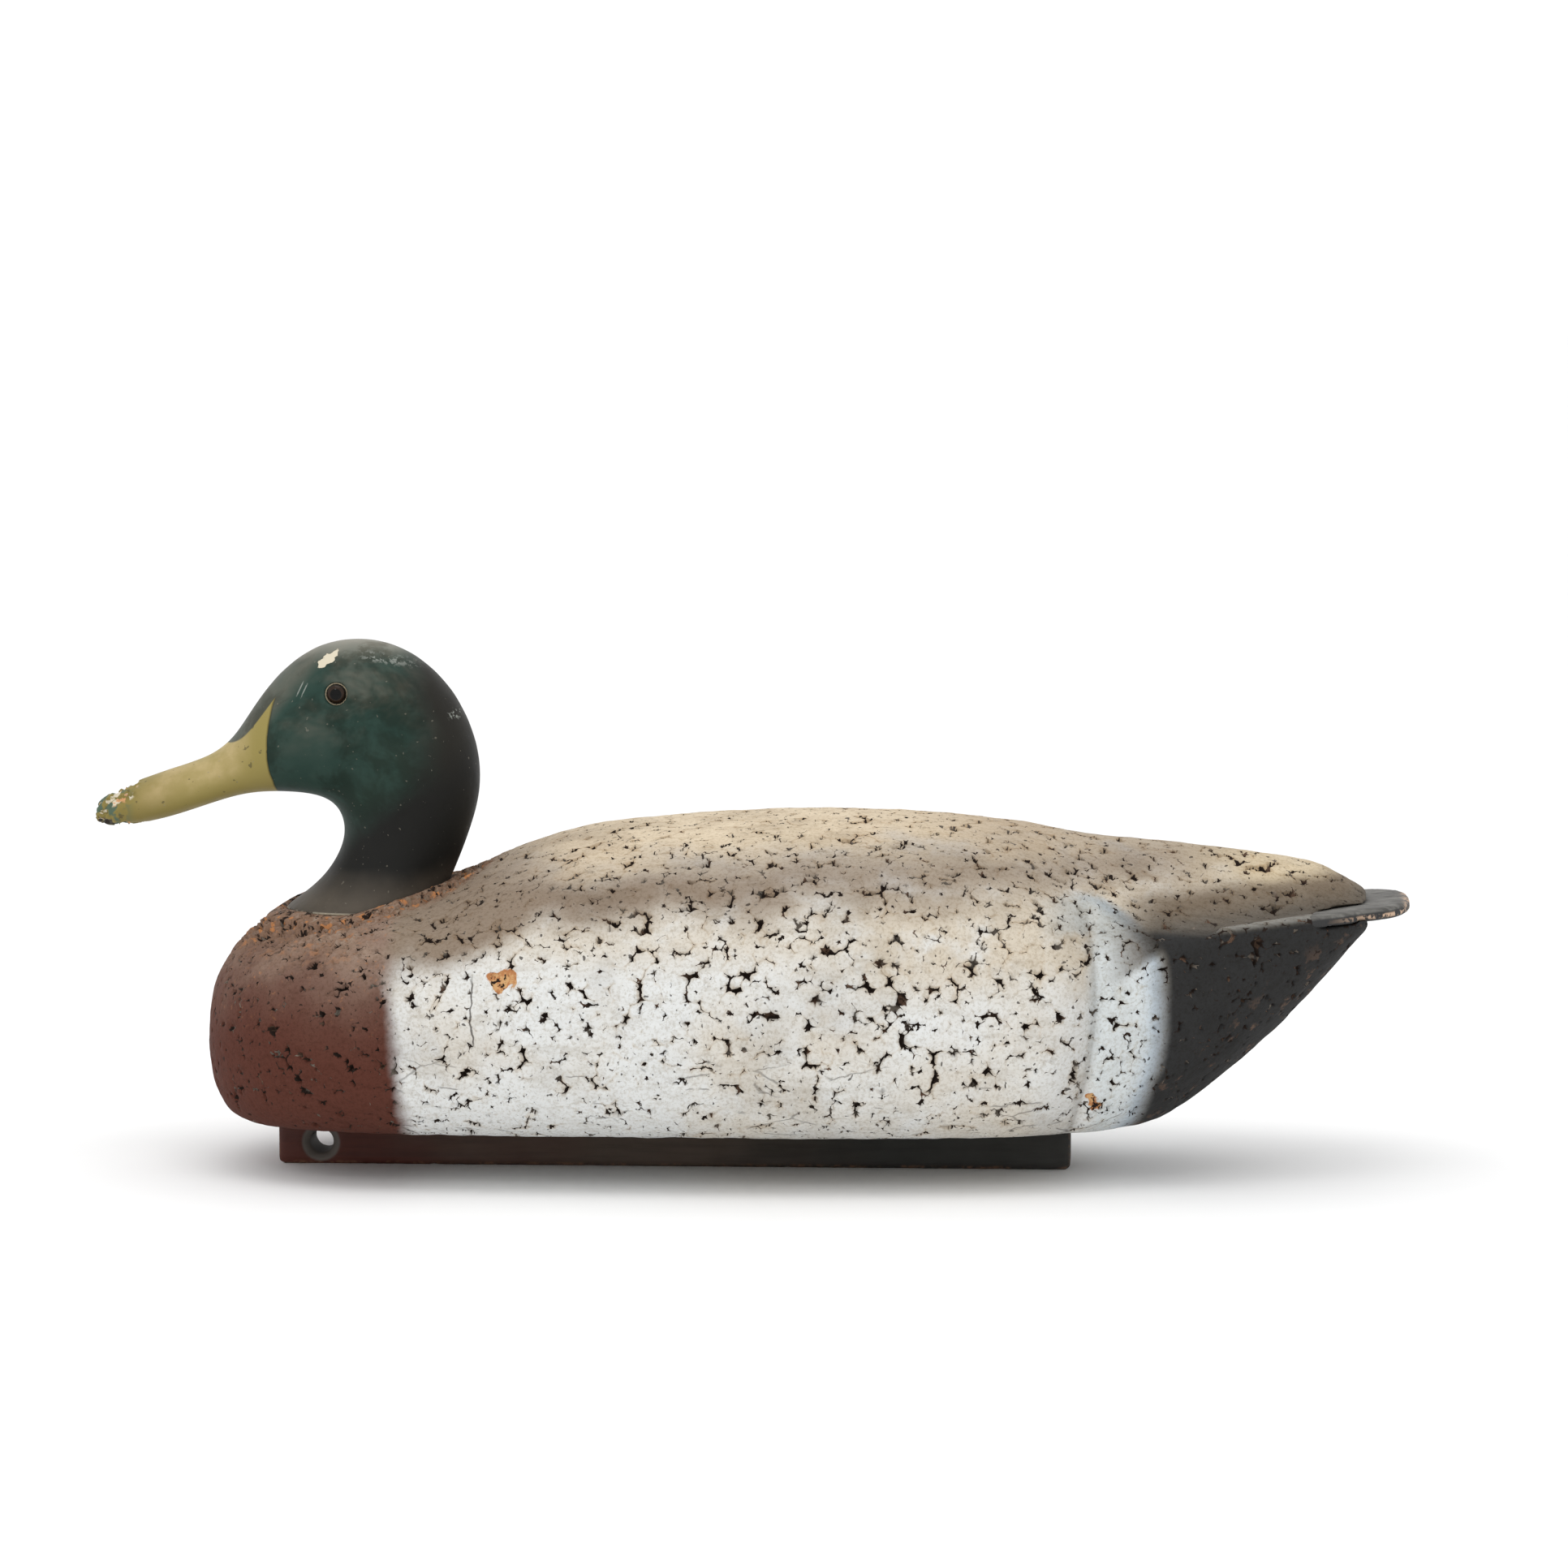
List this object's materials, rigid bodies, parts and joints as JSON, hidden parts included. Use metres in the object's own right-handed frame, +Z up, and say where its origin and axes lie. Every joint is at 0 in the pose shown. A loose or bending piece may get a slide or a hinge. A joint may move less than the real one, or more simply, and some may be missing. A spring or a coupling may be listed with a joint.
{
  "type": "floating duck decoy",
  "caption": "Floating drake mallard decoy: weathered cork body, carved wooden head that swivels on its seat, glass eyes, let-in tail board, ballasted keel with a line hole.",
  "frame": {"origin": "on the ground, under the middle of the decoy", "axes": "+X from bill to tail, +Y to the drake's right side, +Z up"},
  "size_m": [0.4996, 0.1884, 0.1998],
  "materials": {
    "cork_paint": "matte",
    "head_paint": "satin",
    "tail_paint": "matte",
    "keel_paint": "matte",
    "glass_eye": "gloss",
    "putty": "matte",
    "lead": "matte",
    "steel": "matte",
    "bare_wood": "matte"
  },
  "bodies": {
    "hull": {"cork_body": "cork_paint", "keel": "keel_paint", "ballast_lead": "lead", "ballast_screw_front": "steel", "ballast_screw_rear": "steel", "keel_plug_front": "bare_wood", "keel_plug_rear": "bare_wood", "keel_screw_front": "steel", "keel_screw_rear": "steel", "neck_washer": "steel", "tail_board": "tail_paint", "tail_peg_left": "bare_wood", "tail_peg_right": "bare_wood"},
    "head": {"head": "head_paint", "neck_lag_screw": "steel", "eye_left": "glass_eye", "eye_right": "glass_eye", "eye_wire_left": "steel", "eye_wire_right": "steel", "eye_putty_left": "putty", "eye_putty_right": "putty"}
  },
  "joints": [
    {"name": "head_swivel", "type": "hinge", "parent": "hull", "child": "head", "pos_m": [-0.1478, 0, 0.0963], "axis": [0, 0, 1], "range_deg": [-150, 150]}
  ]
}
